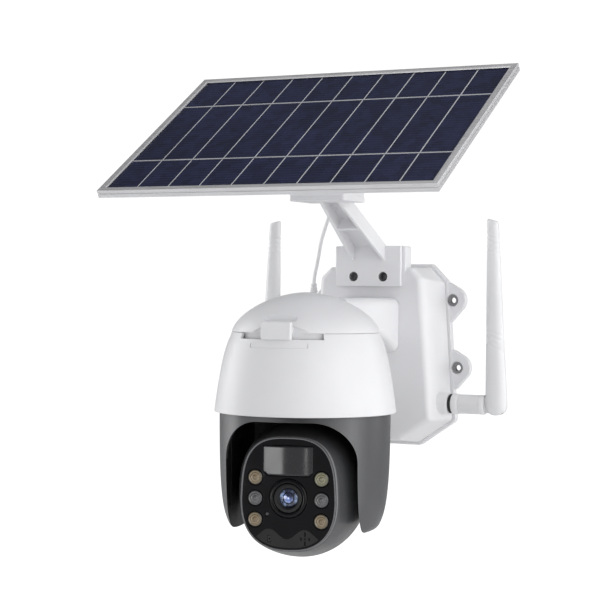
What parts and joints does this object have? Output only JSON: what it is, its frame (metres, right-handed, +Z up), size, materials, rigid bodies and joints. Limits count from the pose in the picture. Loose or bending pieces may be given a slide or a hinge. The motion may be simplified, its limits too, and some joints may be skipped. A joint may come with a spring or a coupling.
{
  "type": "solar-powered security camera",
  "caption": "Wall box carrying a pan-and-tilt dome camera on an arm, folding antennas, and a tilted solar panel on a bracket with its cable.",
  "frame": {"origin": "centre of the battery box's back face, on the wall", "axes": "+Y into the wall, -Y to the front, +Z up, +X to the camera's left hand as it looks out"},
  "size_m": [0.2402, 0.2102, 0.3275],
  "materials": {
    "white_plastic": "satin moulded",
    "grey_plastic": "fine satin",
    "black_gloss": "polished",
    "black_plastic": "satin",
    "panel_frame": "clear anodised",
    "solar_cells": "glass over dark blue silicon strips",
    "steel": "plain",
    "dark_steel": "blackened",
    "motor_can": "plated can",
    "circuit_board": "solder resist",
    "battery_cell": "plastic sleeve over a metal can",
    "rubber_seal": "matt",
    "nylon_gear": "natural nylon",
    "lens_glass": "coated",
    "led_amber": "clear domed resin",
    "led_clear": "clear domed resin"
  },
  "bodies": {
    "housing": {"antenna_socket_left": "white_plastic", "antenna_socket_right": "white_plastic", "battery_cell_1": "battery_cell", "battery_cell_2": "battery_cell", "battery_cell_3": "battery_cell", "battery_tray": "black_plastic", "box_front_cover": "white_plastic", "box_rear_shell": "white_plastic", "box_seal": "rubber_seal", "bracket_screw_left": "dark_steel", "bracket_screw_right": "dark_steel", "cable_gland": "white_plastic", "charge_board": "circuit_board", "cover_screw_1": "steel", "cover_screw_2": "steel", "cover_screw_3": "steel", "cover_screw_4": "steel", "dome_cap": "white_plastic", "front_catch": "white_plastic", "hood": "white_plastic", "junction_box": "black_plastic", "main_board": "circuit_board", "pan_base": "white_plastic", "pan_bearing": "steel", "pan_motor": "motor_can", "panel_bracket": "white_plastic", "panel_cable": "white_plastic", "panel_frame": "panel_frame", "panel_laminate": "solar_cells", "panel_screw_left": "steel", "panel_screw_right": "steel"},
    "yoke": {"yoke_shell": "grey_plastic", "yoke_cheek_left": "grey_plastic", "yoke_cheek_right": "grey_plastic", "pan_gear": "nylon_gear", "tilt_gear": "nylon_gear"},
    "head": {"head_shell": "grey_plastic", "face_plate": "black_gloss", "pir_window": "black_gloss", "lens_ring": "black_gloss", "lens_module": "black_plastic", "lens_glass": "lens_glass", "led_board": "circuit_board", "microphone": "steel", "speaker": "black_plastic", "tilt_motor": "motor_can", "led_lens_1": "led_amber", "led_lens_2": "led_clear", "led_lens_3": "led_amber", "led_lens_4": "led_amber", "led_lens_5": "led_clear", "led_lens_6": "led_amber"},
    "pan_pinion": {"pan_pinion": "nylon_gear"},
    "tilt_pinion": {"tilt_pinion": "nylon_gear"},
    "antenna_knuckle_left": {"antenna_knuckle_left": "white_plastic"},
    "antenna_blade_left": {"antenna_blade_left": "white_plastic", "antenna_pin_left": "steel"},
    "antenna_knuckle_right": {"antenna_knuckle_right": "white_plastic"},
    "antenna_blade_right": {"antenna_blade_right": "white_plastic", "antenna_pin_right": "steel"}
  },
  "joints": [
    {"name": "pan", "type": "hinge", "parent": "housing", "child": "yoke", "pos_m": [0, -0.142, -0.033], "axis": [0, 0, 1], "range_deg": [-189.5, 165.5]},
    {"name": "tilt", "type": "hinge", "parent": "yoke", "child": "head", "pos_m": [0, -0.142, -0.083], "axis": [0.9781, 0.2079, 0], "range_deg": [-10, 90]},
    {"name": "pan_pinion_spin", "type": "hinge", "parent": "housing", "child": "pan_pinion", "pos_m": [0, -0.107, -0.0248], "axis": [0, 0, 1], "range_deg": [-760, 760]},
    {"name": "tilt_pinion_spin", "type": "hinge", "parent": "head", "child": "tilt_pinion", "pos_m": [-0.00407, -0.12283, -0.083], "axis": [0.9781, 0.2079, 0], "range_deg": [-30, 230]},
    {"name": "antenna_swivel_left", "type": "hinge", "parent": "housing", "child": "antenna_knuckle_left", "pos_m": [-0.0546, -0.0217, -0.0324], "axis": [1, 0, 0], "range_deg": [-175, 175]},
    {"name": "antenna_fold_left", "type": "hinge", "parent": "antenna_knuckle_left", "child": "antenna_blade_left", "pos_m": [-0.0894, -0.0217, -0.0324], "axis": [0, -1, 0], "range_deg": [0, 90]},
    {"name": "antenna_swivel_right", "type": "hinge", "parent": "housing", "child": "antenna_knuckle_right", "pos_m": [0.0546, -0.0217, -0.0324], "axis": [1, 0, 0], "range_deg": [-175, 175]},
    {"name": "antenna_fold_right", "type": "hinge", "parent": "antenna_knuckle_right", "child": "antenna_blade_right", "pos_m": [0.0894, -0.0217, -0.0324], "axis": [0, 1, 0], "range_deg": [0, 90]}
  ],
  "couplings": [
    {"joint": "pan_pinion_spin", "follows": "pan", "ratio": -4},
    {"joint": "tilt_pinion_spin", "follows": "tilt", "ratio": 2.5}
  ]
}
